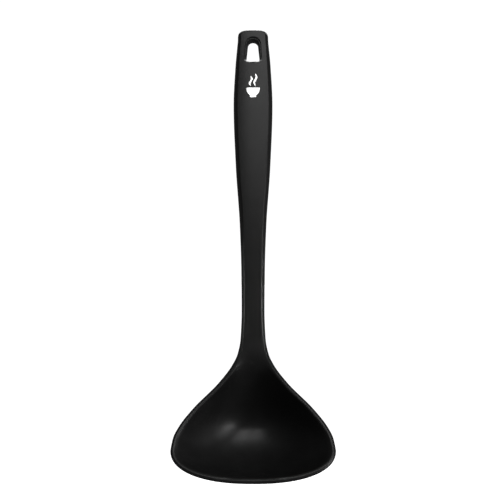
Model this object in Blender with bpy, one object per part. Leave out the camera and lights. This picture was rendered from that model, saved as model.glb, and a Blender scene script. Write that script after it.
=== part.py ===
"""A kitchen ladle, hanging upright from its eye: a stiff nylon core inside a soft silicone skin.

The origin is where a hook bears, at the top of the hanging hole and in the middle of its depth.
+Z runs up the handle, the bowl opens towards -Y, and the part is symmetric about the plane x = 0.

Every surface is worked out from the front: a drop is a distance below the handle's top end, an
inset is a distance in from the outline, and a depth is a distance behind the front face's sheet,
which leans back at the top of the handle and curls forward at the bowl's lip.
"""

import math

import bmesh
import bpy
import numpy as np

MM = 0.001

# Driving dimensions, in millimetres and degrees
TOP_CAP_HEIGHT = 7.0
TOP_CAP_HALF_WIDTH = 9.95
TOP_CAP_SQUARENESS = 3.8
LIP_DROP = 291.2
LIP_SQUARENESS = 2.3
BOWL_HALF_WIDTH = 52.4
BOWL_WIDEST_DROP = 271.5
BOWL_DEPTH = 35.0
BOWL_CENTRE_DROP = 253.0
BOWL_FULLNESS = 2.4  # the power that the wall rises with, from the centre to the rim
NECK_DROP = 203.0  # where the shaft starts to open into the bowl
NECK_EASE = 1.8  # above 1, the bowl starts more gently below the neck
BOWL_BLEND = 40.0  # the drop over which the handle's section turns into the bowl's
RIM_WIDTH = 2.8
RIM_SOFTNESS = 0.8  # the radius that joins the rim to the bowl's inner wall
RIM_SIDE_DEPTH = 1.6
FLANK_SQUARENESS = 1.5  # near 1, the front edge is a straight flank between tight turns
BACK_CAP_HEIGHT = 7.0
HANDLE_BACK_POWER = 4.0
HANDLE_BACK_ROUNDING = 0.55
BOWL_BACK_ROUNDING = 0.92
HOLE_TOP_DROP = 7.5
HOLE_HEIGHT = 13.6
HOLE_TOP_WIDTH = 6.8
HOLE_BOTTOM_WIDTH = 8.7
HOLE_CORNER = 1.3
MOUTH_FLARE = 1.8  # how far the hole's drafted mouth starts outside its throat
MOUTH_SIDE_FLARE = 2.0  # the same, at the sides of the arch
MOUTH_DEPTH = 4.2
CORE_PROUD = 0.2  # how much wider the skin's hole is than the core's, all round
SKIN_THICKNESS = 1.0
CLEARANCE = 0.3  # between the skin and the core
WINDOW_DROPS = (52.0, 84.0, 116.0)  # slots through the core that the skin locks into
WINDOW_LENGTH = 18.0
WINDOW_WIDTH = 5.0

# (drop, half width) of the outline, between the top cap and the bowl's widest place
SIDE_POINTS = (
    (TOP_CAP_HEIGHT, TOP_CAP_HALF_WIDTH),
    (25.0, 11.55),
    (50.0, 12.7),
    (90.0, 11.25),
    (130.0, 8.55),
    (160.0, 7.58),
    (185.0, 7.38),
    (NECK_DROP, 8.1),
    (212.5, 9.95),
    (220.0, 13.6),
    (231.5, 22.65),
    (246.5, 38.1),
    (257.5, 47.2),
    (264.5, 50.9),
    (BOWL_WIDEST_DROP, BOWL_HALF_WIDTH),
)

# (drop, degrees) that the front face leans forward from upright
LEAN_POINTS = (
    (-5.0, 9.0),
    (70.0, 7.0),
    (140.0, 2.5),
    (185.0, 0.5),
    (215.0, 5.0),
    (240.0, 15.0),
    (270.0, 27.0),
    (315.0, 35.0),
)

# (drop on the outline, drop on the centre line) that a section runs between
FACING_DROPS = (
    (0.0, 6.0),
    (16.0, 17.0),
    (60.0, 60.0),
    (NECK_DROP, NECK_DROP),
    (231.5, 224.0),
    (BOWL_WIDEST_DROP, 243.0),
    (LIP_DROP, BOWL_CENTRE_DROP),
)

# (drop, thickness) along the centre line: the eye, the grip, the shaft, and the bowl's wall
THICKNESS_POINTS = (
    (0.0, 9.6),
    (20.0, 10.6),
    (60.0, 12.0),
    (110.0, 11.4),
    (160.0, 9.2),
    (205.0, 8.6),
    (232.0, 6.6),
    (BOWL_CENTRE_DROP, 4.4),
)

# (drop, how far the front's edges stand back from its middle)
CROWN_POINTS = (
    (0.0, 0.8),
    (45.0, 1.6),
    (100.0, 1.3),
    (150.0, 0.45),
    (NECK_DROP, 0.2),
    (225.0, 0.0),
)

# (drop on the outline, how far in from it the front starts to round over)
ROUNDING_POINTS = (
    (0.0, 1.9),
    (45.0, 2.7),
    (100.0, 2.7),
    (150.0, 2.3),
    (NECK_DROP, 1.9),
    (235.0, 1.5),
)

# (drop on the centre line, inset of the core's edge from the outline)
CORE_INSET_POINTS = (
    (0.0, 1.7),
    (150.0, 1.7),
    (196.0, 3.6),
    (212.0, 4.6),
    (232.0, 8.0),
)

CAP_STEPS = 5
CAP_STEPS_END = 8.0  # the drop where the top end's closely spaced sections stop
HANDLE_STEPS = 21
BOWL_STEPS = 25
FRONT_STEPS = 7
EDGE_STEPS = 3
BACK_STEPS = 8
HOLE_ARCH_STEPS = 10
HOLE_CORNER_STEPS = 3
WINDOW_ARCH_STEPS = 6
FINE_STEPS = 400
HANDLE_CROWDING = 0.6  # below 1, points stand closer together towards the edge
SLOPE_STEP = 0.05
LEAST_HALF_WIDTH = 0.1  # stands in for the width where the outline closes
MIRROR_MERGE = 0.01
BEYOND = 3.0  # how far the cutters stand in front of the handle
THROUGH = 20.0  # how deep the cutters reach, past the back of the handle


def smooth_through(points, at):
    """A smooth curve through the points that stays between them."""
    x, y = np.array(points, float).T
    step = np.diff(x)
    slope = np.diff(y) / step
    turns = slope[:-1] * slope[1:] <= 0
    total = np.where(turns, 1.0, slope[:-1] + slope[1:])
    middle = np.where(turns, 0.0, 2 * slope[:-1] * slope[1:] / total)
    tangent = np.concatenate([slope[:1], middle, slope[-1:]])
    at = np.clip(at, x[0], x[-1])
    i = np.clip(np.searchsorted(x, at, side="right") - 1, 0, len(x) - 2)
    t = (at - x[i]) / step[i]
    value = y[i] * (1 + 2 * t) * (1 - t) ** 2 + y[i + 1] * t**2 * (3 - 2 * t)
    return value + step[i] * (tangent[i] * t * (1 - t) ** 2 - tangent[i + 1] * t**2 * (1 - t))


def smoothstep(low, high, at):
    t = np.clip((at - low) / (high - low), 0.0, 1.0)
    return t * t * (3 - 2 * t)


def quarter_superellipse(power):
    """Points from (0, 1) to (1, 0)."""
    angle = np.linspace(0.0, math.pi / 2, FINE_STEPS)
    return np.sin(angle) ** (2 / power), np.cos(angle) ** (2 / power)


def outline_curve():
    """(half width, drop) points and running lengths, from the top end round to the lip."""
    cap_x, cap_rise = quarter_superellipse(TOP_CAP_SQUARENESS)
    side = np.linspace(TOP_CAP_HEIGHT, BOWL_WIDEST_DROP, FINE_STEPS)[1:]
    lip_fall, lip_x = quarter_superellipse(LIP_SQUARENESS)
    lip_height = LIP_DROP - BOWL_WIDEST_DROP
    width = np.concatenate(
        [TOP_CAP_HALF_WIDTH * cap_x, smooth_through(SIDE_POINTS, side), BOWL_HALF_WIDTH * lip_x[1:]]
    )
    drop = np.concatenate(
        [TOP_CAP_HEIGHT * (1 - cap_rise), side, BOWL_WIDEST_DROP + lip_height * lip_fall[1:]]
    )
    width[0] = width[-1] = 0.0
    steps = np.hypot(np.diff(width), np.diff(drop))
    return np.stack([width, drop], axis=1), np.concatenate([[0.0], np.cumsum(steps)])


def front_sheet():
    """Drops down the centre line, and the sheet's distance behind the top end at each."""
    drop = np.linspace(LEAN_POINTS[0][0], LEAN_POINTS[-1][0], FINE_STEPS)
    slope = np.tan(np.radians(smooth_through(LEAN_POINTS, drop)))
    steps = 0.5 * (slope[1:] + slope[:-1]) * np.diff(drop)
    return drop, -np.concatenate([[0.0], np.cumsum(steps)])


def inset_curve(inset):
    """The outline moved inwards, square to itself."""
    direction = np.gradient(OUTLINE, axis=0)
    direction /= np.linalg.norm(direction, axis=1)[:, None]
    inwards = np.stack([-direction[:, 1], direction[:, 0]], axis=1)
    inwards[0] = (0.0, 1.0)
    inwards[-1] = (0.0, -1.0)
    return OUTLINE + inset * inwards


OUTLINE, OUTLINE_LENGTH = outline_curve()
SHEET_DROP, SHEET_BACK = front_sheet()
RIM_INSIDE = inset_curve(RIM_WIDTH)


def along(curve, length):
    """The curve's point that faces the outline at this running length."""
    x = np.interp(length, OUTLINE_LENGTH, curve[:, 0])
    return np.stack([x, np.interp(length, OUTLINE_LENGTH, curve[:, 1])], axis=-1)


def length_at(drop):
    return float(np.interp(drop, OUTLINE[:, 1], OUTLINE_LENGTH))


def spine_point(length):
    """The centre line's point that faces the outline at this running length."""
    facing = [(length_at(edge), spine) for edge, spine in FACING_DROPS]
    return np.array([0.0, smooth_through(facing, length)])


def place(x, drop, depth):
    """Points in metres, before the hanging hole is brought to the origin."""
    tilt = np.radians(smooth_through(LEAN_POINTS, drop))
    y = np.interp(drop, SHEET_DROP, SHEET_BACK) + depth * np.cos(tilt)
    return np.stack([x, y, -drop - depth * np.sin(tilt)], axis=-1) * MM


def hook_point():
    """Where a hook bears."""
    thickness = float(smooth_through(THICKNESS_POINTS, HOLE_TOP_DROP))
    return place(0.0, np.float64(HOLE_TOP_DROP), thickness / 2)


def fall(distance, reach, power):
    """1 at the middle, falling to 0 at this reach."""
    return np.maximum(1 - np.clip(distance / reach, 0.0, None) ** power, 0.0)


def hollow_depth(drop):
    """The bowl's depth down the centre line, from the neck to the bowl's centre."""
    return BOWL_DEPTH * smoothstep(NECK_DROP, BOWL_CENTRE_DROP, drop) ** NECK_EASE


def front_depth(x, drop):
    """The front surface: gently crowned on the handle, hollow in the bowl."""
    half = np.maximum(np.interp(drop, RIM_INSIDE[:, 1], RIM_INSIDE[:, 0]), LEAST_HALF_WIDTH)
    lip = RIM_INSIDE[-1, 1]
    hollow = hollow_depth(drop)
    towards_lip = np.maximum(drop - BOWL_CENTRE_DROP, 0.0) / (lip - BOWL_CENTRE_DROP)
    level = hollow * (1 - towards_lip**BOWL_FULLNESS)
    wall = level * (1 - (np.abs(x) / half) ** BOWL_FULLNESS)
    wall = np.where(drop > lip, level, wall)
    breadth = np.interp(np.maximum(drop, TOP_CAP_HEIGHT), OUTLINE[:, 1], OUTLINE[:, 0])
    breadth = np.maximum(breadth, LEAST_HALF_WIDTH)
    crown = smooth_through(CROWN_POINTS, drop) * (np.abs(x) / breadth) ** 2
    return 0.5 * (wall + np.sqrt(wall**2 + RIM_SOFTNESS**2)) + crown


def bowl_share(drop):
    """0 on the handle and 1 in the bowl."""
    return smoothstep(NECK_DROP, NECK_DROP + BOWL_BLEND, drop)


def side_depth(drop):
    """The depth of the outline's outermost edge."""
    share = bowl_share(drop)
    middle = smooth_through(THICKNESS_POINTS, drop) / 2
    return (1 - share) * middle + share * RIM_SIDE_DEPTH


def back_depth(x, drop):
    """The back surface: a rounded bar on the handle, and the bowl's outside."""
    share = bowl_share(drop)
    power = HANDLE_BACK_POWER + (BOWL_FULLNESS - HANDLE_BACK_POWER) * share
    rounding = HANDLE_BACK_ROUNDING + (BOWL_BACK_ROUNDING - HANDLE_BACK_ROUNDING) * share
    half = np.maximum(np.interp(drop, OUTLINE[:, 1], OUTLINE[:, 0]), LEAST_HALF_WIDTH)
    above = np.maximum(BACK_CAP_HEIGHT - drop, 0.0)
    below = np.maximum(drop - BOWL_CENTRE_DROP, 0.0)
    full = fall(np.abs(x), half, power) ** rounding
    full = full * fall(above, BACK_CAP_HEIGHT, 2.0) ** HANDLE_BACK_ROUNDING
    full = full * fall(below, LIP_DROP - BOWL_CENTRE_DROP, BOWL_FULLNESS) ** BOWL_BACK_ROUNDING
    hollow = hollow_depth(drop)
    deepest = hollow + smooth_through(THICKNESS_POINTS, drop)
    side = side_depth(drop)
    return side + (deepest - side) * full


def slope_factor(surface, x, drop):
    """How much longer a straight step in depth is than a step square to the surface."""
    across = surface(x + SLOPE_STEP, drop) - surface(x - SLOPE_STEP, drop)
    down = surface(x, drop + SLOPE_STEP) - surface(x, drop - SLOPE_STEP)
    across, down = across / (2 * SLOPE_STEP), down / (2 * SLOPE_STEP)
    return np.sqrt(1 + across**2 + down**2)


def between(start, end, count, ease):
    """Points from the start to the end, crowded towards the end when ease is below 1."""
    share = (np.arange(count + 1) / count)[:, None] ** ease
    return start + (end - start) * share


def crowding(spine):
    """The points stand close to the edge on the handle, and evenly spread in the bowl."""
    return HANDLE_CROWDING + (1 - HANDLE_CROWDING) * float(bowl_share(spine[1]))


def outer_loop(length):
    """The outer surface along one section, from the front's middle round to the back's."""
    spine = spine_point(length)
    edge = along(OUTLINE, length)
    rim = along(RIM_INSIDE, length)
    inwards = (rim - edge) / RIM_WIDTH
    front = between(spine, rim, FRONT_STEPS, crowding(spine))
    points = list(place(*front.T, front_depth(*front.T)))
    rounding = float(smooth_through(ROUNDING_POINTS, edge[1]))
    shoulder = edge + inwards * rounding
    top = float(front_depth(*shoulder))
    side = float(side_depth(edge[1]))
    for i in range(EDGE_STEPS):
        angle = math.pi / 2 * i / EDGE_STEPS
        out = math.sin(angle) ** (2 / FLANK_SQUARENESS)
        down = 1 - math.cos(angle) ** (2 / FLANK_SQUARENESS)
        across = edge + inwards * rounding * (1 - out)
        points.append(place(*across, top + (side - top) * down))
    back = between(spine, edge, BACK_STEPS, crowding(spine))[::-1]
    depths = back_depth(*back.T)
    depths[0] = side
    return points + list(place(*back.T, depths))


def inner_loop(length, wall, edge_gap):
    """A surface this far inside the outer one, which ends short of the outline."""
    spine = spine_point(length)
    edge_inset = float(smooth_through(CORE_INSET_POINTS, spine[1])) - edge_gap
    edge = along(inset_curve(edge_inset), length)
    line = between(spine, edge, FRONT_STEPS, crowding(spine))
    front = front_depth(*line.T) + wall * slope_factor(front_depth, *line.T)
    back = back_depth(*line.T) - wall * slope_factor(back_depth, *line.T)
    return list(place(*line.T, front)) + list(place(*line.T, back))[::-1]


def section_lengths():
    """Where the sections stand along the outline."""
    stretches = (
        (0.0, CAP_STEPS_END, CAP_STEPS),
        (CAP_STEPS_END, NECK_DROP, HANDLE_STEPS),
        (NECK_DROP, LIP_DROP, BOWL_STEPS),
    )
    lengths = [0.0]
    for start, end, count in stretches:
        lengths += list(np.linspace(length_at(start), length_at(end), count + 1)[1:])
    lengths[-1] = OUTLINE_LENGTH[-1]
    return lengths


def linked(name, mesh):
    data = bpy.data.meshes.new(name)
    mesh.to_mesh(data)
    mesh.free()
    made = bpy.data.objects.new(name, data)
    bpy.context.scene.collection.objects.link(made)
    return made


def unseen(made):
    """Marks an object that only cuts another."""
    made.hide_render = True
    made.display_type = "WIRE"
    return made


def lofted(name, loop_of):
    """An object lofted through the sections of the +X half, and mirrored."""
    mesh = bmesh.new()
    hook = hook_point()
    previous = None
    for length in section_lengths():
        row = [mesh.verts.new(point - hook) for point in loop_of(length)]
        for i in range(len(row) - 1):
            if previous:
                mesh.faces.new((previous[i], previous[i + 1], row[i + 1], row[i]))
        previous = row
    made = linked(name, mesh)
    made.data.shade_smooth()
    mirror = made.modifiers.new("other half", "MIRROR")
    mirror.merge_threshold = MIRROR_MERGE * MM
    return made


def hole_outline(grow, side_grow):
    """The hanging hole's outline, an arch on a flat foot with rounded corners."""
    radius = HOLE_TOP_WIDTH / 2
    foot = HOLE_BOTTOM_WIDTH / 2 + grow
    foot_drop = HOLE_HEIGHT + grow
    corner = HOLE_CORNER + grow
    points = []
    for i in range(HOLE_ARCH_STEPS + 1):
        angle = math.pi * i / HOLE_ARCH_STEPS
        across = (radius + side_grow) * math.cos(angle)
        points.append((across, radius - (radius + grow) * math.sin(angle)))
    for side in (-1, 1):
        for i in range(HOLE_CORNER_STEPS + 1):
            step = i if side < 0 else HOLE_CORNER_STEPS - i
            angle = math.pi / 2 * step / HOLE_CORNER_STEPS
            x = side * (foot - corner + corner * math.cos(angle))
            points.append((x, foot_drop - corner + corner * math.sin(angle)))
    return points


def through_cutter(name, rings):
    """A closed cutter through these rings."""
    mesh = bmesh.new()
    loops = [[mesh.verts.new(point) for point in ring] for ring in rings]
    for upper, lower in zip(loops, loops[1:]):
        for i in range(len(upper)):
            j = (i + 1) % len(upper)
            mesh.faces.new((upper[i], upper[j], lower[j], lower[i]))
    mesh.faces.new(loops[0])
    mesh.faces.new(loops[-1])
    bmesh.ops.recalc_face_normals(mesh, faces=mesh.faces)
    return unseen(linked(name, mesh))


def tilted(outline, drop, depth):
    """An outline given from this drop of the front sheet, moved back square to it."""
    tilt = math.radians(float(smooth_through(LEAN_POINTS, np.float64(drop))))
    start = place(0.0, np.float64(drop), depth) - hook_point()
    down = np.array([0.0, -math.sin(tilt), -math.cos(tilt)]) * MM
    across = np.array([MM, 0.0, 0.0])
    return [start + x * across + y * down for x, y in outline]


def hole_cutter(name, grow):
    """The hanging hole: a drafted mouth in front, then a straight throat."""
    face = RIM_SOFTNESS / 2
    wide = 1 - face / MOUTH_DEPTH
    rings = []
    for depth, draft in ((-BEYOND, wide), (face, wide), (MOUTH_DEPTH, 0.0), (THROUGH, 0.0)):
        outline = hole_outline(grow + MOUTH_FLARE * draft, grow + MOUTH_SIDE_FLARE * draft)
        rings.append(tilted(outline, HOLE_TOP_DROP, depth))
    return through_cutter(name, rings)


def window_cutter(name, drop, grow):
    """A slot with round ends through the handle."""
    radius = WINDOW_WIDTH / 2 + grow
    straight = WINDOW_LENGTH - WINDOW_WIDTH
    arc = [math.pi * i / WINDOW_ARCH_STEPS for i in range(WINDOW_ARCH_STEPS + 1)]
    upper = [(radius * math.cos(a), -straight / 2 - radius * math.sin(a)) for a in arc]
    lower = [(-x, -y) for x, y in upper]
    rings = [tilted(upper + lower, drop, depth) for depth in (-BEYOND, THROUGH)]
    return through_cutter(name, rings)


def cut(made, cutter):
    boolean = made.modifiers.new(cutter.name, "BOOLEAN")
    boolean.operation = "DIFFERENCE"
    boolean.solver = "EXACT"
    boolean.object = cutter


def material(name, colour, roughness):
    made = bpy.data.materials.new(name)
    made.use_nodes = True
    shader = made.node_tree.nodes["Principled BSDF"]
    shader.inputs["Base Color"].default_value = (*colour, 1.0)
    shader.inputs["Roughness"].default_value = roughness
    shader.inputs["Metallic"].default_value = 0.0
    made.diffuse_color = (*colour, 1.0)
    return made


def nylon_core():
    """The stiff core: the eye, the bar through the handle and the dish in the bowl's wall."""
    wall = SKIN_THICKNESS + CLEARANCE
    core = lofted("nylon_core", lambda length: inner_loop(length, wall, 0.0))
    cut(core, hole_cutter("core_hole", 0.0))
    for number, drop in enumerate(WINDOW_DROPS, 1):
        cut(core, window_cutter(f"core_window_{number}", drop, 0.0))
    core.data.materials.append(material("core_nylon", (0.012, 0.012, 0.012), 0.4))


def silicone_skin():
    """The seamless skin, hollow where the core is, with pegs through the core's windows."""
    hollow = unseen(
        lofted("skin_hollow", lambda length: inner_loop(length, SKIN_THICKNESS, CLEARANCE))
    )
    for number, drop in enumerate(WINDOW_DROPS, 1):
        cut(hollow, window_cutter(f"skin_peg_{number}", drop, -CLEARANCE))
    skin = lofted("silicone_skin", outer_loop)
    cut(skin, hollow)
    cut(skin, hole_cutter("skin_hole", CORE_PROUD))
    skin.data.materials.append(material("skin_silicone", (0.010, 0.010, 0.010), 0.5))


def clear_scene():
    for old in list(bpy.data.objects):
        bpy.data.objects.remove(old, do_unlink=True)


def main():
    clear_scene()
    nylon_core()
    silicone_skin()


main()
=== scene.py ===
"""Looks of a black silicone kitchen ladle that hangs by its eye, bowl towards -Y.

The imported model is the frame: its origin is where a hook bears, at the top of the hanging hole.
The skin and the core are rebuilt here with the same sizes and a much finer surface. A drop is a
distance below the handle's top end, an inset is a distance in from the outline, and a depth is a
distance behind the front face's sheet.
"""

import math

import bmesh
import bpy
import numpy as np
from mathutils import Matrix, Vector


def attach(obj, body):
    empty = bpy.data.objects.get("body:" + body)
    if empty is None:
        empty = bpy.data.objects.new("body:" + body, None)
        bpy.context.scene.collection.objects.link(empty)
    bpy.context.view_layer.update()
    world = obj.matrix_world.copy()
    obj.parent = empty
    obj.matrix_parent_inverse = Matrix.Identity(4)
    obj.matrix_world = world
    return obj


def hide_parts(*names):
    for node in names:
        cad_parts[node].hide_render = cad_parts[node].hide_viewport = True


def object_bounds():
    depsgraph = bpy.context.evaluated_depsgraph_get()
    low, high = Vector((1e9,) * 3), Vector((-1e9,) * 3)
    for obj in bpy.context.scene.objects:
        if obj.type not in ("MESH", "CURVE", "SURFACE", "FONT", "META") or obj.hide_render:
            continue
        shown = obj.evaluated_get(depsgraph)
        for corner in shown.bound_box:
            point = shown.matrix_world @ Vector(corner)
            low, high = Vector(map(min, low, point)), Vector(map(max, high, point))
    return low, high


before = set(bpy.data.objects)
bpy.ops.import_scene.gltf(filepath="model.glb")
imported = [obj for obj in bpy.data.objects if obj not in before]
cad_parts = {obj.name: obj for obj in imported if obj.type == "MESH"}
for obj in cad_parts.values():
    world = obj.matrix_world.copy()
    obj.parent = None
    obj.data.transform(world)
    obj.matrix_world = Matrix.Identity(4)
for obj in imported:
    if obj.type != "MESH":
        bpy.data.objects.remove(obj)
CAD_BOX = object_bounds()

MM = 0.001

# The ladle's sizes, in millimetres and degrees
TOP_CAP_HEIGHT = 7.0
TOP_CAP_HALF_WIDTH = 9.95
TOP_CAP_SQUARENESS = 3.8
LIP_DROP = 291.2
LIP_SQUARENESS = 2.3
BOWL_HALF_WIDTH = 52.4
BOWL_WIDEST_DROP = 271.5
BOWL_DEPTH = 35.0
BOWL_CENTRE_DROP = 253.0
BOWL_FULLNESS = 2.4  # the power that the wall rises with, from the centre to the rim
NECK_DROP = 203.0  # where the shaft starts to open into the bowl
NECK_EASE = 1.8  # above 1, the bowl starts more gently below the neck
BOWL_BLEND = 40.0  # the drop over which the handle's section turns into the bowl's
RIM_WIDTH = 2.8
RIM_SOFTNESS = 0.8  # the radius that joins the rim to the bowl's inner wall
RIM_SIDE_DEPTH = 1.6
FLANK_SQUARENESS = 1.5  # near 1, the front edge is a straight flank between tight turns
BACK_CAP_HEIGHT = 7.0
HANDLE_BACK_POWER = 4.0
HANDLE_BACK_ROUNDING = 0.55
BOWL_BACK_ROUNDING = 0.92
HOLE_TOP_DROP = 7.5
HOLE_HEIGHT = 13.6
HOLE_TOP_WIDTH = 6.8
HOLE_BOTTOM_WIDTH = 8.7
HOLE_CORNER = 1.3
MOUTH_FLARE = 1.8  # how far the hole's drafted mouth starts outside its throat
MOUTH_SIDE_FLARE = 2.0  # the same, at the sides of the arch
MOUTH_DEPTH = 4.2
MOUTH_ROUNDING = 0.3
CORE_PROUD = 0.2  # how much wider the skin's hole is than the core's, all round
SKIN_THICKNESS = 1.0
CLEARANCE = 0.3  # between the skin and the core
WINDOW_DROPS = (52.0, 84.0, 116.0)  # slots through the core that the skin locks into
WINDOW_LENGTH = 18.0
WINDOW_WIDTH = 5.0
BEYOND = 3.0  # how far the cutters stand in front of the handle, and the hole's behind it
THROUGH = 20.0  # how deep the windows' cutters reach
PARTING_RIDGE = 0.05  # the mould's parting line, along the outermost edge
PARTING_WIDTH = 0.2

# The printed mark, in millimetres
MARK_DROP = 38.5  # where the curls of steam end, just above the bowl
MARK_THICKNESS = 0.05
MARK_BOWL_WIDTH = 8.6
MARK_BOWL_TOP = 1.2
MARK_BOWL_DEPTH = 5.0
MARK_BOWL_ROUNDING = 0.45  # how far below the bowl's last row its curve would close
MARK_BOWL_POWER = 2.2
MARK_FOOT_HEIGHT = 1.2
MARK_FOOT_TOP_HALF_WIDTH = 1.72
MARK_FOOT_HALF_WIDTH = 2.064
MARK_GAP = 0.01  # keeps the foot's first row apart from the bowl's last
WISPS = ((-1.5, -6.4), (1.5, -8.0))  # (across, top) of each curl of steam
WISP_SWAY = 0.7
WISP_HALF_WIDTH = 0.62
WISP_BLUNTNESS = 0.03  # the share of a curl's length at each end that keeps its width

# (drop, half width) of the outline, between the top cap and the bowl's widest place
SIDE_POINTS = (
    (TOP_CAP_HEIGHT, TOP_CAP_HALF_WIDTH),
    (25.0, 11.55),
    (50.0, 12.7),
    (90.0, 11.25),
    (130.0, 8.55),
    (160.0, 7.58),
    (185.0, 7.38),
    (NECK_DROP, 8.1),
    (212.5, 9.95),
    (220.0, 13.6),
    (231.5, 22.65),
    (246.5, 38.1),
    (257.5, 47.2),
    (264.5, 50.9),
    (BOWL_WIDEST_DROP, BOWL_HALF_WIDTH),
)

# (drop, degrees) that the front face leans forward from upright
LEAN_POINTS = (
    (-5.0, 9.0),
    (70.0, 7.0),
    (140.0, 2.5),
    (185.0, 0.5),
    (215.0, 5.0),
    (240.0, 15.0),
    (270.0, 27.0),
    (315.0, 35.0),
)

# (drop on the outline, drop on the centre line) that a section runs between
FACING_DROPS = (
    (0.0, 6.0),
    (16.0, 17.0),
    (60.0, 60.0),
    (NECK_DROP, NECK_DROP),
    (231.5, 224.0),
    (BOWL_WIDEST_DROP, 243.0),
    (LIP_DROP, BOWL_CENTRE_DROP),
)

# (drop, thickness) along the centre line: the eye, the grip, the shaft, and the bowl's wall
THICKNESS_POINTS = (
    (0.0, 9.6),
    (20.0, 10.6),
    (60.0, 12.0),
    (110.0, 11.4),
    (160.0, 9.2),
    (205.0, 8.6),
    (232.0, 6.6),
    (BOWL_CENTRE_DROP, 4.4),
)

# (drop, how far the front's edges stand back from its middle)
CROWN_POINTS = (
    (0.0, 0.8),
    (45.0, 1.6),
    (100.0, 1.3),
    (150.0, 0.45),
    (NECK_DROP, 0.2),
    (225.0, 0.0),
)

# (drop on the outline, how far in from it the front starts to round over)
ROUNDING_POINTS = (
    (0.0, 1.9),
    (45.0, 2.7),
    (100.0, 2.7),
    (150.0, 2.3),
    (NECK_DROP, 1.9),
    (235.0, 1.5),
)

# (drop on the centre line, inset of the core's edge from the outline)
CORE_INSET_POINTS = (
    (0.0, 1.7),
    (150.0, 1.7),
    (196.0, 3.6),
    (212.0, 4.6),
    (232.0, 8.0),
)

# (last drop, sections) of each stretch of the outline
FINE_STRETCHES = ((8.0, 22), (26.0, 26), (NECK_DROP, 84), (LIP_DROP, 84))
CORE_STRETCHES = ((8.0, 8), (26.0, 9), (NECK_DROP, 28), (LIP_DROP, 30))
FRONT_STEPS = 22
RIM_STEPS = 4
EDGE_STEPS = 14
BACK_STEPS = 22
CORE_STEPS = 9
HOLE_ARCH_STEPS = 28
HOLE_CORNER_STEPS = 6
MOUTH_STEPS = 4
WINDOW_ARCH_STEPS = 12
MARK_COLUMNS = 9
MARK_BOWL_STEPS = 21
WISP_STEPS = 29
FINE_STEPS = 1200
HANDLE_CROWDING = 0.6  # below 1, points stand closer together towards the edge
SLOPE_STEP = 0.05
LEAST_HALF_WIDTH = 0.1  # stands in for the width where the outline closes
MIRROR_MERGE = 0.01
SLIVER = 0.001  # the cuts leave slivers of this size, which are joined up
SKIN_SHARP_DEGREES = 40.0
CORE_SHARP_DEGREES = 30.0

# The studio, in metres, degrees and watts, with the camera's lens and sensor in millimetres
FLOOR_SIZE = 30.0
FLOOR_GAP = 0.25  # from the bowl down to the floor
CAMERA_PLACE = (-0.002, -0.916, -0.1375)
CAMERA_LENS = 100.0
CAMERA_SENSOR = 36.0
WHITE = (1.0, 1.0, 1.0, 1.0)
WHITE_STRENGTH = 1.06  # just past white, so that the floor and the surroundings are even
FILL_STRENGTH = 0.09
GRIP = (0.0, 0.0, -0.05)
SHAFT = (0.0, 0.0, -0.175)
BOWL = (0.0, -0.01, -0.25)
OPEN = 180.0  # the spread of a soft box with no grid
GRID = 8.0  # the spread of one that lights its target and little else

# (name, target, azimuth, elevation, distance, width, height, watts, spread) of each soft box
SOFTBOXES = (
    ("key", GRIP, 13.0, 30.0, 1.3, 1.15, 0.4, 6.5, OPEN),
    ("right_head", BOWL, 57.5, -1.5, 1.0, 0.17, 0.4, 3.3, OPEN),
    ("right_wall", BOWL, 103.0, -31.0, 1.5, 1.5, 0.9, 3.0, OPEN),
    ("shaft_left", SHAFT, -76.0, 0.0, 0.5, 0.1, 0.06, 0.0045, GRID),
    ("shaft_right", SHAFT, 74.0, 0.0, 0.5, 0.1, 0.06, 0.0045, GRID),
    ("back_right", GRIP, 170.0, 32.0, 1.5, 0.9, 0.8, 12.0, OPEN),
    ("back_left", GRIP, -156.0, 40.0, 1.5, 0.5, 0.8, 3.5, OPEN),
    ("mark_light", GRIP, 0.0, 25.0, 1.0, 0.3, 0.3, 12.0, OPEN),
)


def smooth_through(points, at):
    """A smooth curve through the points that stays between them."""
    x, y = np.array(points, float).T
    step = np.diff(x)
    slope = np.diff(y) / step
    turns = slope[:-1] * slope[1:] <= 0
    total = np.where(turns, 1.0, slope[:-1] + slope[1:])
    middle = np.where(turns, 0.0, 2 * slope[:-1] * slope[1:] / total)
    tangent = np.concatenate([slope[:1], middle, slope[-1:]])
    at = np.clip(at, x[0], x[-1])
    i = np.clip(np.searchsorted(x, at, side="right") - 1, 0, len(x) - 2)
    t = (at - x[i]) / step[i]
    value = y[i] * (1 + 2 * t) * (1 - t) ** 2 + y[i + 1] * t**2 * (3 - 2 * t)
    return value + step[i] * (tangent[i] * t * (1 - t) ** 2 - tangent[i + 1] * t**2 * (1 - t))


def smoothstep(low, high, at):
    """0 up to low, 1 from high on, and a smooth rise between them."""
    t = np.clip((at - low) / (high - low), 0.0, 1.0)
    return t * t * (3 - 2 * t)


def quarter_superellipse(power):
    """Points from (0, 1) to (1, 0)."""
    angle = np.linspace(0.0, math.pi / 2, FINE_STEPS)
    return np.sin(angle) ** (2 / power), np.cos(angle) ** (2 / power)


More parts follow.
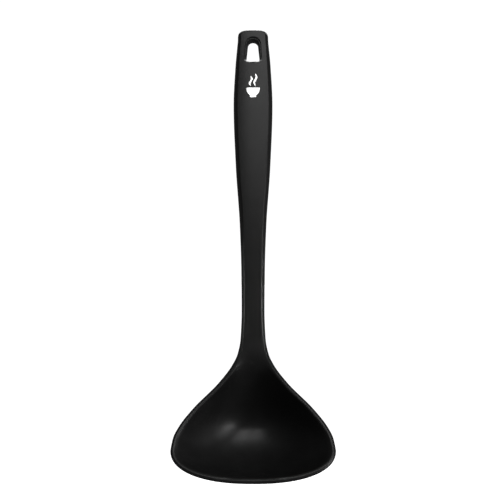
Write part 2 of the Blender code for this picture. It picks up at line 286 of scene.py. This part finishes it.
def outline_curve():
    """(half width, drop) points and running lengths, from the top end round to the lip."""
    cap_x, cap_rise = quarter_superellipse(TOP_CAP_SQUARENESS)
    side = np.linspace(TOP_CAP_HEIGHT, BOWL_WIDEST_DROP, FINE_STEPS)[1:]
    lip_fall, lip_x = quarter_superellipse(LIP_SQUARENESS)
    lip_height = LIP_DROP - BOWL_WIDEST_DROP
    width = np.concatenate(
        [TOP_CAP_HALF_WIDTH * cap_x, smooth_through(SIDE_POINTS, side), BOWL_HALF_WIDTH * lip_x[1:]]
    )
    drop = np.concatenate(
        [TOP_CAP_HEIGHT * (1 - cap_rise), side, BOWL_WIDEST_DROP + lip_height * lip_fall[1:]]
    )
    width[0] = width[-1] = 0.0
    steps = np.hypot(np.diff(width), np.diff(drop))
    return np.stack([width, drop], axis=1), np.concatenate([[0.0], np.cumsum(steps)])


def front_sheet():
    """Drops down the centre line, and the sheet's distance behind the top end at each."""
    drop = np.linspace(LEAN_POINTS[0][0], LEAN_POINTS[-1][0], FINE_STEPS)
    slope = np.tan(np.radians(smooth_through(LEAN_POINTS, drop)))
    steps = 0.5 * (slope[1:] + slope[:-1]) * np.diff(drop)
    return drop, -np.concatenate([[0.0], np.cumsum(steps)])


def inset_curve(inset):
    """The outline moved inwards, square to itself."""
    direction = np.gradient(OUTLINE, axis=0)
    direction /= np.linalg.norm(direction, axis=1)[:, None]
    inwards = np.stack([-direction[:, 1], direction[:, 0]], axis=1)
    inwards[0] = (0.0, 1.0)
    inwards[-1] = (0.0, -1.0)
    return OUTLINE + inset * inwards


OUTLINE, OUTLINE_LENGTH = outline_curve()
SHEET_DROP, SHEET_BACK = front_sheet()
RIM_INSIDE = inset_curve(RIM_WIDTH)


def along(curve, length):
    """The curve's point that faces the outline at this running length."""
    x = np.interp(length, OUTLINE_LENGTH, curve[:, 0])
    return np.stack([x, np.interp(length, OUTLINE_LENGTH, curve[:, 1])], axis=-1)


def length_at(drop):
    """The outline's running length down to this drop."""
    return float(np.interp(drop, OUTLINE[:, 1], OUTLINE_LENGTH))


def spine_point(length):
    """The centre line's point that faces the outline at this running length."""
    facing = [(length_at(edge), spine) for edge, spine in FACING_DROPS]
    return np.array([0.0, smooth_through(facing, length)])


def place(x, drop, depth):
    """Points in metres, before the hanging hole is brought to the origin."""
    tilt = np.radians(smooth_through(LEAN_POINTS, drop))
    y = np.interp(drop, SHEET_DROP, SHEET_BACK) + depth * np.cos(tilt)
    return np.stack([x, y, -drop - depth * np.sin(tilt)], axis=-1) * MM


def hook_point():
    """Where a hook bears."""
    thickness = float(smooth_through(THICKNESS_POINTS, HOLE_TOP_DROP))
    return place(0.0, np.float64(HOLE_TOP_DROP), thickness / 2)


def fall(distance, reach, power):
    """1 at the middle, falling to 0 at this reach."""
    return np.maximum(1 - np.clip(distance / reach, 0.0, None) ** power, 0.0)


def hollow_depth(drop):
    """The bowl's depth down the centre line, from the neck to the bowl's centre."""
    return BOWL_DEPTH * smoothstep(NECK_DROP, BOWL_CENTRE_DROP, drop) ** NECK_EASE


def front_depth(x, drop):
    """The front surface: gently crowned on the handle, hollow in the bowl."""
    half = np.maximum(np.interp(drop, RIM_INSIDE[:, 1], RIM_INSIDE[:, 0]), LEAST_HALF_WIDTH)
    lip = RIM_INSIDE[-1, 1]
    hollow = hollow_depth(drop)
    towards_lip = np.maximum(drop - BOWL_CENTRE_DROP, 0.0) / (lip - BOWL_CENTRE_DROP)
    level = hollow * (1 - towards_lip**BOWL_FULLNESS)
    wall = level * (1 - (np.abs(x) / half) ** BOWL_FULLNESS)
    wall = np.where(drop > lip, level, wall)
    breadth = np.interp(np.maximum(drop, TOP_CAP_HEIGHT), OUTLINE[:, 1], OUTLINE[:, 0])
    breadth = np.maximum(breadth, LEAST_HALF_WIDTH)
    crown = smooth_through(CROWN_POINTS, drop) * (np.abs(x) / breadth) ** 2
    return 0.5 * (wall + np.sqrt(wall**2 + RIM_SOFTNESS**2)) + crown


def bowl_share(drop):
    """0 on the handle and 1 in the bowl."""
    return smoothstep(NECK_DROP, NECK_DROP + BOWL_BLEND, drop)


def side_depth(drop):
    """The depth of the outline's outermost edge."""
    share = bowl_share(drop)
    middle = smooth_through(THICKNESS_POINTS, drop) / 2
    return (1 - share) * middle + share * RIM_SIDE_DEPTH


def back_depth(x, drop):
    """The back surface: a rounded bar on the handle, and the bowl's outside."""
    share = bowl_share(drop)
    power = HANDLE_BACK_POWER + (BOWL_FULLNESS - HANDLE_BACK_POWER) * share
    rounding = HANDLE_BACK_ROUNDING + (BOWL_BACK_ROUNDING - HANDLE_BACK_ROUNDING) * share
    half = np.maximum(np.interp(drop, OUTLINE[:, 1], OUTLINE[:, 0]), LEAST_HALF_WIDTH)
    above = np.maximum(BACK_CAP_HEIGHT - drop, 0.0)
    below = np.maximum(drop - BOWL_CENTRE_DROP, 0.0)
    full = fall(np.abs(x), half, power) ** rounding
    full = full * fall(above, BACK_CAP_HEIGHT, 2.0) ** HANDLE_BACK_ROUNDING
    full = full * fall(below, LIP_DROP - BOWL_CENTRE_DROP, BOWL_FULLNESS) ** BOWL_BACK_ROUNDING
    hollow = hollow_depth(drop)
    deepest = hollow + smooth_through(THICKNESS_POINTS, drop)
    side = side_depth(drop)
    return side + (deepest - side) * full


def slope_factor(surface, x, drop):
    """How much longer a straight step in depth is than a step square to the surface."""
    across = surface(x + SLOPE_STEP, drop) - surface(x - SLOPE_STEP, drop)
    down = surface(x, drop + SLOPE_STEP) - surface(x, drop - SLOPE_STEP)
    across, down = across / (2 * SLOPE_STEP), down / (2 * SLOPE_STEP)
    return np.sqrt(1 + across**2 + down**2)


def between(start, end, count, ease):
    """Points from the start to the end, crowded towards the end when ease is below 1."""
    share = (np.arange(count + 1) / count)[:, None] ** ease
    return start + (end - start) * share


def crowding(spine):
    """The points stand close to the edge on the handle, and evenly spread in the bowl."""
    return HANDLE_CROWDING + (1 - HANDLE_CROWDING) * float(bowl_share(spine[1]))


def outer_loop(length):
    """The skin's outer surface along one section, from the front's middle round to the back's."""
    spine = spine_point(length)
    edge = along(OUTLINE, length)
    rim = along(RIM_INSIDE, length)
    inwards = (rim - edge) / RIM_WIDTH
    front = between(spine, rim, FRONT_STEPS, crowding(spine))
    rounding = float(smooth_through(ROUNDING_POINTS, edge[1]))
    shoulder = edge + inwards * rounding
    band = between(rim, shoulder, RIM_STEPS, 1.0)[1:-1]
    flat = np.concatenate([front, band])
    points = list(place(*flat.T, front_depth(*flat.T)))
    top = float(front_depth(*shoulder))
    side = float(side_depth(edge[1]))
    for i in range(EDGE_STEPS):
        angle = math.pi / 2 * i / EDGE_STEPS
        out = math.sin(angle) ** (2 / FLANK_SQUARENESS)
        down = 1 - math.cos(angle) ** (2 / FLANK_SQUARENESS)
        across = edge + inwards * rounding * (1 - out)
        points.append(place(*across, top + (side - top) * down))
    ridge = edge - inwards * PARTING_RIDGE
    points.append(place(*edge, side - PARTING_WIDTH / 2))
    points.append(place(*ridge, side))
    back = between(spine, edge, BACK_STEPS, crowding(spine))[::-1]
    depths = back_depth(*back.T)
    depths[0] = side + PARTING_WIDTH / 2
    return points + list(place(*back.T, depths))


def inner_loop(length, wall, edge_gap):
    """A surface this far inside the outer one, which ends short of the outline."""
    spine = spine_point(length)
    edge_inset = float(smooth_through(CORE_INSET_POINTS, spine[1])) - edge_gap
    edge = along(inset_curve(edge_inset), length)
    line = between(spine, edge, CORE_STEPS, crowding(spine))
    front = front_depth(*line.T) + wall * slope_factor(front_depth, *line.T)
    back = back_depth(*line.T) - wall * slope_factor(back_depth, *line.T)
    return list(place(*line.T, front)) + list(place(*line.T, back))[::-1]


def section_lengths(stretches):
    """Where the sections stand along the outline."""
    lengths = [0.0]
    start = 0.0
    for end, count in stretches:
        lengths += list(np.linspace(length_at(start), length_at(end), count + 1)[1:])
        start = end
    lengths[-1] = OUTLINE_LENGTH[-1]
    return lengths


def linked(name, mesh):
    """An object in the scene, made from this mesh."""
    data = bpy.data.meshes.new(name)
    mesh.to_mesh(data)
    mesh.free()
    made = bpy.data.objects.new(name, data)
    bpy.context.scene.collection.objects.link(made)
    return made


def lofted(name, loop_of, stretches):
    """An object lofted through the sections of the +X half, and mirrored."""
    mesh = bmesh.new()
    hook = hook_point()
    previous = None
    for length in section_lengths(stretches):
        row = [mesh.verts.new(point - hook) for point in loop_of(length)]
        for i in range(len(row) - 1):
            if previous:
                mesh.faces.new((previous[i], previous[i + 1], row[i + 1], row[i]))
        previous = row
    made = linked(name, mesh)
    mirror = made.modifiers.new("other half", "MIRROR")
    mirror.merge_threshold = MIRROR_MERGE * MM
    return made


def hole_outline(grow, side_grow):
    """The hanging hole's outline, an arch on a flat foot with rounded corners."""
    radius = HOLE_TOP_WIDTH / 2
    foot = HOLE_BOTTOM_WIDTH / 2 + grow
    foot_drop = HOLE_HEIGHT + grow
    corner = HOLE_CORNER + grow
    points = []
    for i in range(HOLE_ARCH_STEPS + 1):
        angle = math.pi * i / HOLE_ARCH_STEPS
        across = (radius + side_grow) * math.cos(angle)
        points.append((across, radius - (radius + grow) * math.sin(angle)))
    for side in (-1, 1):
        for i in range(HOLE_CORNER_STEPS + 1):
            step = i if side < 0 else HOLE_CORNER_STEPS - i
            angle = math.pi / 2 * step / HOLE_CORNER_STEPS
            x = side * (foot - corner + corner * math.cos(angle))
            points.append((x, foot_drop - corner + corner * math.sin(angle)))
    return points


def tilted(outline, drop, depth):
    """An outline given from this drop of the front sheet, moved back square to it."""
    tilt = math.radians(float(smooth_through(LEAN_POINTS, np.float64(drop))))
    start = place(0.0, np.float64(drop), depth) - hook_point()
    down = np.array([0.0, -math.sin(tilt), -math.cos(tilt)]) * MM
    across = np.array([MM, 0.0, 0.0])
    return [start + x * across + y * down for x, y in outline]


def through_cutter(name, rings):
    """A closed cutter through these rings."""
    mesh = bmesh.new()
    loops = [[mesh.verts.new(point) for point in ring] for ring in rings]
    for upper, lower in zip(loops, loops[1:]):
        for i in range(len(upper)):
            j = (i + 1) % len(upper)
            mesh.faces.new((upper[i], upper[j], lower[j], lower[i]))
    mesh.faces.new(loops[0])
    mesh.faces.new(loops[-1])
    bmesh.ops.recalc_face_normals(mesh, faces=mesh.faces)
    return linked(name, mesh)


def rounded_edge(depth_of):
    """(depth, extra width) steps that round off a mouth's edge."""
    shares = [math.sin(math.pi / 2 * i / MOUTH_STEPS) for i in range(MOUTH_STEPS + 1)]
    face = RIM_SOFTNESS / 2  # how far the handle's face stands behind the sheet
    return [(depth_of(face + MOUTH_ROUNDING * t), MOUTH_ROUNDING * (1 - t)) for t in shares]


def hole_cutter(name, grow):
    """The hanging hole: a drafted mouth in front, then a straight throat."""
    thickness = float(smooth_through(THICKNESS_POINTS, HOLE_TOP_DROP + HOLE_HEIGHT / 2))
    front = rounded_edge(lambda depth: depth)
    back = rounded_edge(lambda depth: thickness - depth)[::-1]
    steps = [(-BEYOND, 2 * MOUTH_ROUNDING), *front, (MOUTH_DEPTH, 0.0), *back]
    steps.append((thickness + BEYOND, 2 * MOUTH_ROUNDING))
    rings = []
    for depth, extra in steps:
        draft = max(1 - depth / MOUTH_DEPTH, 0.0)
        wider = grow + extra
        outline = hole_outline(wider + MOUTH_FLARE * draft, wider + MOUTH_SIDE_FLARE * draft)
        rings.append(tilted(outline, HOLE_TOP_DROP, depth))
    return through_cutter(name, rings)


def window_cutter(name, drop, grow):
    """A slot with round ends through the handle."""
    radius = WINDOW_WIDTH / 2 + grow
    straight = WINDOW_LENGTH - WINDOW_WIDTH
    arc = [math.pi * i / WINDOW_ARCH_STEPS for i in range(WINDOW_ARCH_STEPS + 1)]
    upper = [(radius * math.cos(a), -straight / 2 - radius * math.sin(a)) for a in arc]
    lower = [(-x, -y) for x, y in upper]
    rings = [tilted(upper + lower, drop, depth) for depth in (-BEYOND, THROUGH)]
    return through_cutter(name, rings)


def cut(made, cutter):
    """Takes the cutter's shape out of an object."""
    boolean = made.modifiers.new(cutter.name, "BOOLEAN")
    boolean.operation = "DIFFERENCE"
    boolean.solver = "EXACT"
    boolean.object = cutter


def without_slivers(data):
    """Joins up the slivers in a mesh, and turns it into triangles."""
    mesh = bmesh.new()
    mesh.from_mesh(data)
    bmesh.ops.remove_doubles(mesh, verts=mesh.verts, dist=SLIVER * MM)
    bmesh.ops.dissolve_degenerate(mesh, edges=mesh.edges, dist=SLIVER * MM)
    bmesh.ops.triangulate(mesh, faces=mesh.faces)
    bmesh.ops.dissolve_degenerate(mesh, edges=mesh.edges, dist=SLIVER * MM)
    mesh.to_mesh(data)
    mesh.free()


def settle(made, cutters, sharp_degrees):
    """Applies an object's modifiers, removes its cutters and shades it smooth."""
    bpy.context.view_layer.update()
    evaluated = made.evaluated_get(bpy.context.evaluated_depsgraph_get())
    data = bpy.data.meshes.new_from_object(evaluated)
    made.modifiers.clear()
    made.data = data
    without_slivers(data)
    data.shade_smooth()
    data.set_sharp_from_angle(angle=math.radians(sharp_degrees))
    for cutter in cutters:
        bpy.data.objects.remove(cutter)


# ---------------------------------------------------------------- materials

NOISE_LOW = 0.3  # most of a noise texture lies between these
NOISE_HIGH = 0.7
SILICONE_IOR = 1.41
NYLON_IOR = 1.53


def new_material(name):
    """A material, its node tree and its shader."""
    made = bpy.data.materials.new(name)
    made.use_nodes = True
    tree = made.node_tree
    return made, tree, tree.nodes["Principled BSDF"]


def noise(tree, coordinates, scale, detail, roughness):
    """The value of a noise texture."""
    node = tree.nodes.new("ShaderNodeTexNoise")
    node.inputs["Scale"].default_value = scale
    node.inputs["Detail"].default_value = detail
    node.inputs["Roughness"].default_value = roughness
    tree.links.new(coordinates, node.inputs["Vector"])
    return node.outputs["Fac"]


def ranged(tree, value, low, high):
    """A value that runs from low to high as the noise does."""
    node = tree.nodes.new("ShaderNodeMapRange")
    node.inputs["From Min"].default_value = NOISE_LOW
    node.inputs["From Max"].default_value = NOISE_HIGH
    node.inputs["To Min"].default_value = low
    node.inputs["To Max"].default_value = high
    tree.links.new(value, node.inputs["Value"])
    return node.outputs["Result"]


def tinted(tree, value, dark, light):
    """A grey that runs from dark to light as the noise does."""
    node = tree.nodes.new("ShaderNodeValToRGB")
    node.color_ramp.elements[0].position = NOISE_LOW
    node.color_ramp.elements[0].color = (dark, dark, dark, 1.0)
    node.color_ramp.elements[1].position = NOISE_HIGH
    node.color_ramp.elements[1].color = (light, light, light, 1.0)
    tree.links.new(value, node.inputs["Fac"])
    return node.outputs["Color"]


def bumped(tree, height, distance, strength, normal=None):
    """A normal tilted by this height, on top of another one if it is given."""
    node = tree.nodes.new("ShaderNodeBump")
    node.inputs["Distance"].default_value = distance
    node.inputs["Strength"].default_value = strength
    tree.links.new(height, node.inputs["Height"])
    if normal:
        tree.links.new(normal, node.inputs["Normal"])
    return node.outputs["Normal"]


def silicone():
    """Satin black silicone: a fine moulded grain over a very slight unevenness."""
    made, tree, shader = new_material("satin_black_silicone")
    where = tree.nodes.new("ShaderNodeTexCoord").outputs["Object"]
    broad = noise(tree, where, scale=90.0, detail=3.0, roughness=0.5)
    grain = noise(tree, where, scale=5200.0, detail=2.0, roughness=0.6)
    wavy = noise(tree, where, scale=160.0, detail=2.0, roughness=0.5)
    tree.links.new(tinted(tree, broad, 0.0100, 0.0122), shader.inputs["Base Color"])
    tree.links.new(ranged(tree, broad, 0.37, 0.43), shader.inputs["Roughness"])
    normal = bumped(tree, wavy, distance=0.00006, strength=0.5)
    normal = bumped(tree, grain, distance=0.00002, strength=0.25, normal=normal)
    tree.links.new(normal, shader.inputs["Normal"])
    shader.inputs["IOR"].default_value = SILICONE_IOR
    shader.inputs["Metallic"].default_value = 0.0
    return made


def nylon():
    """Black glass-filled nylon: a slightly mottled matt surface with fine fibre specks."""
    made, tree, shader = new_material("black_glass_filled_nylon")
    where = tree.nodes.new("ShaderNodeTexCoord").outputs["Object"]
    specks = noise(tree, where, scale=2600.0, detail=4.0, roughness=0.7)
    cloud = noise(tree, where, scale=300.0, detail=2.0, roughness=0.5)
    tree.links.new(tinted(tree, specks, 0.010, 0.022), shader.inputs["Base Color"])
    tree.links.new(ranged(tree, cloud, 0.34, 0.46), shader.inputs["Roughness"])
    normal = bumped(tree, specks, distance=0.00003, strength=0.4)
    tree.links.new(normal, shader.inputs["Normal"])
    shader.inputs["IOR"].default_value = NYLON_IOR
    return made


def ink():
    """White pad-printing ink, a little uneven and not quite opaque."""
    made, tree, shader = new_material("white_printing_ink")
    where = tree.nodes.new("ShaderNodeTexCoord").outputs["Object"]
    cover = noise(tree, where, scale=1500.0, detail=3.0, roughness=0.6)
    tree.links.new(tinted(tree, cover, 0.78, 0.88), shader.inputs["Base Color"])
    tree.links.new(ranged(tree, cover, 0.42, 0.6), shader.inputs["Roughness"])
    normal = bumped(tree, cover, distance=0.00001, strength=0.4)
    tree.links.new(normal, shader.inputs["Normal"])
    return made


# ---------------------------------------------------------------- pieces


def ladle_skin():
    """The seamless skin, hollow where the core is, with pegs through the core's windows."""
    hollow = lofted(
        "hollow", lambda length: inner_loop(length, SKIN_THICKNESS, CLEARANCE), CORE_STRETCHES
    )
    pegs = [window_cutter(f"peg_{drop:.0f}", drop, -CLEARANCE) for drop in WINDOW_DROPS]
    for peg in pegs:
        cut(hollow, peg)
    hole = hole_cutter("skin_hole", CORE_PROUD)
    skin = lofted("silicone_skin_fine", outer_loop, FINE_STRETCHES)
    cut(skin, hollow)
    cut(skin, hole)
    settle(skin, (hollow, hole, *pegs), SKIN_SHARP_DEGREES)
    skin.data.materials.append(silicone())
    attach(skin, "root")
    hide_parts("silicone_skin")


def ladle_core():
    """The stiff core, seen only inside the hanging hole."""
    wall = SKIN_THICKNESS + CLEARANCE
    core = lofted("nylon_core_fine", lambda length: inner_loop(length, wall, 0.0), CORE_STRETCHES)
    cutters = [window_cutter(f"window_{drop:.0f}", drop, 0.0) for drop in WINDOW_DROPS]
    cutters.append(hole_cutter("core_hole", 0.0))
    for cutter in cutters:
        cut(core, cutter)
    settle(core, cutters, CORE_SHARP_DEGREES)
    core.data.materials.append(nylon())
    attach(core, "root")
    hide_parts("nylon_core")


def bowl_rows():
    """A bowl on a foot: the (across, drop) of its rows' left ends, and of their right ends."""
    drops = np.linspace(0.0, MARK_BOWL_DEPTH, MARK_BOWL_STEPS)
    closes = MARK_BOWL_DEPTH + MARK_BOWL_ROUNDING
    half = MARK_BOWL_WIDTH / 2 * np.sqrt(fall(drops, closes, MARK_BOWL_POWER))
    drops = np.append(drops, (MARK_BOWL_DEPTH + MARK_GAP, MARK_BOWL_DEPTH + MARK_FOOT_HEIGHT))
    half = np.append(half, (MARK_FOOT_TOP_HALF_WIDTH, MARK_FOOT_HALF_WIDTH))
    left = np.stack([-half, MARK_BOWL_TOP + drops], axis=1)
    return left, left * (-1, 1)


def wisp_rows(x, top):
    """One curl of steam: its rows' left ends, and their right ends."""
    share = np.linspace(0.0, 1.0, WISP_STEPS)
    middle = x + WISP_SWAY * np.sin(2 * math.pi * share)
    blunt = np.clip(share, WISP_BLUNTNESS, 1 - WISP_BLUNTNESS)
    half = WISP_HALF_WIDTH * np.sqrt(np.sin(math.pi * blunt))
    drops = top * (1 - share)
    return np.stack([middle - half, drops], axis=1), np.stack([middle + half, drops], axis=1)


def film(mesh, left, right):
    """Adds a thin closed film of ink that follows the front surface between these row ends."""
    sides = []
    for lift in (-MARK_THICKNESS, MARK_THICKNESS):
        share = np.linspace(0.0, 1.0, MARK_COLUMNS)[None, :, None]
        flat = left[:, None] + (right - left)[:, None] * share
        x, drop = flat[..., 0], MARK_DROP + flat[..., 1]
        points = place(x, drop, front_depth(x, drop) - lift) - hook_point()
        sides.append([[mesh.verts.new(point) for point in row] for row in points])
    for grid in sides:
        for upper, lower in zip(grid, grid[1:]):
            for i in range(MARK_COLUMNS - 1):
                mesh.faces.new((upper[i], upper[i + 1], lower[i + 1], lower[i]))
    rims = []
    for grid in sides:
        right_side = [row[-1] for row in grid[1:-1]]
        left_side = [row[0] for row in grid[-2:0:-1]]
        rims.append([*grid[0], *right_side, *grid[-1][::-1], *left_side])
    for i in range(len(rims[0])):
        j = (i + 1) % len(rims[0])
        mesh.faces.new((rims[0][i], rims[0][j], rims[1][j], rims[1][i]))


def steaming_bowl_mark():
    """A small printed picture of a steaming bowl on the grip's front."""
    mesh = bmesh.new()
    film(mesh, *bowl_rows())
    for x, top in WISPS:
        film(mesh, *wisp_rows(x, top))
    bmesh.ops.recalc_face_normals(mesh, faces=mesh.faces)
    made = linked("steaming_bowl_mark", mesh)
    made.data.materials.append(ink())
    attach(made, "root")
    return made


# ---------------------------------------------------------------- studio


def floor():
    """A plain white floor, which the ladle hangs above."""
    below = CAD_BOX[0].z - FLOOR_GAP
    bpy.ops.mesh.primitive_plane_add(size=FLOOR_SIZE, location=(0.0, 0.0, below))
    made = bpy.context.object
    made.name = "floor"
    material, _, shader = new_material("white_floor")
    shader.inputs["Base Color"].default_value = WHITE
    shader.inputs["Emission Color"].default_value = WHITE
    shader.inputs["Emission Strength"].default_value = WHITE_STRENGTH
    made.data.materials.append(material)
    made.visible_glossy = False
    made.visible_diffuse = False


def surroundings():
    """White to the camera, and only a dim fill on the ladle."""
    world = bpy.data.worlds.new("studio")
    bpy.context.scene.world = world
    world.use_nodes = True
    tree = world.node_tree
    tree.nodes.clear()
    seen = tree.nodes.new("ShaderNodeBackground")
    seen.inputs["Color"].default_value = WHITE
    seen.inputs["Strength"].default_value = WHITE_STRENGTH
    fill = tree.nodes.new("ShaderNodeBackground")
    fill.inputs["Color"].default_value = WHITE
    fill.inputs["Strength"].default_value = FILL_STRENGTH
    rays = tree.nodes.new("ShaderNodeLightPath")
    mix = tree.nodes.new("ShaderNodeMixShader")
    out = tree.nodes.new("ShaderNodeOutputWorld")
    tree.links.new(rays.outputs["Is Camera Ray"], mix.inputs["Fac"])
    tree.links.new(fill.outputs[0], mix.inputs[1])
    tree.links.new(seen.outputs[0], mix.inputs[2])
    tree.links.new(mix.outputs[0], out.inputs["Surface"])


def softbox(name, target, azimuth, elevation, distance, width, height, watts, spread):
    """A soft area light that faces the target from this direction."""
    around, up = math.radians(azimuth), math.radians(elevation)
    away = Vector(
        (math.sin(around) * math.cos(up), -math.cos(around) * math.cos(up), math.sin(up))
    )
    data = bpy.data.lights.new(name, "AREA")
    data.shape = "RECTANGLE"
    data.size = width
    data.size_y = height
    data.energy = watts
    data.spread = math.radians(spread)
    made = bpy.data.objects.new(name, data)
    made.location = Vector(target) + away * distance
    made.rotation_euler = away.to_track_quat("Z", "Y").to_euler()
    made.visible_camera = False
    bpy.context.scene.collection.objects.link(made)


def lights_only(light, lit):
    """Keeps a light for one object."""
    chosen = bpy.data.collections.new(light.name + "_lights")
    chosen.objects.link(lit)
    light.light_linking.receiver_collection = chosen


def camera():
    """Level, square to the ladle's front, at the height of its middle."""
    data = bpy.data.cameras.new("camera")
    data.lens = CAMERA_LENS
    data.sensor_width = CAMERA_SENSOR
    made = bpy.data.objects.new("camera", data)
    made.location = CAMERA_PLACE
    made.rotation_euler = (math.radians(90.0), 0.0, 0.0)
    bpy.context.scene.collection.objects.link(made)
    bpy.context.scene.camera = made


ladle_skin()
ladle_core()
mark = steaming_bowl_mark()
floor()
surroundings()
camera()
for described in SOFTBOXES:
    softbox(*described)
lights_only(bpy.data.objects["mark_light"], mark)

bpy.context.scene.view_settings.view_transform = "Standard"
bpy.context.scene.view_settings.look = "None"
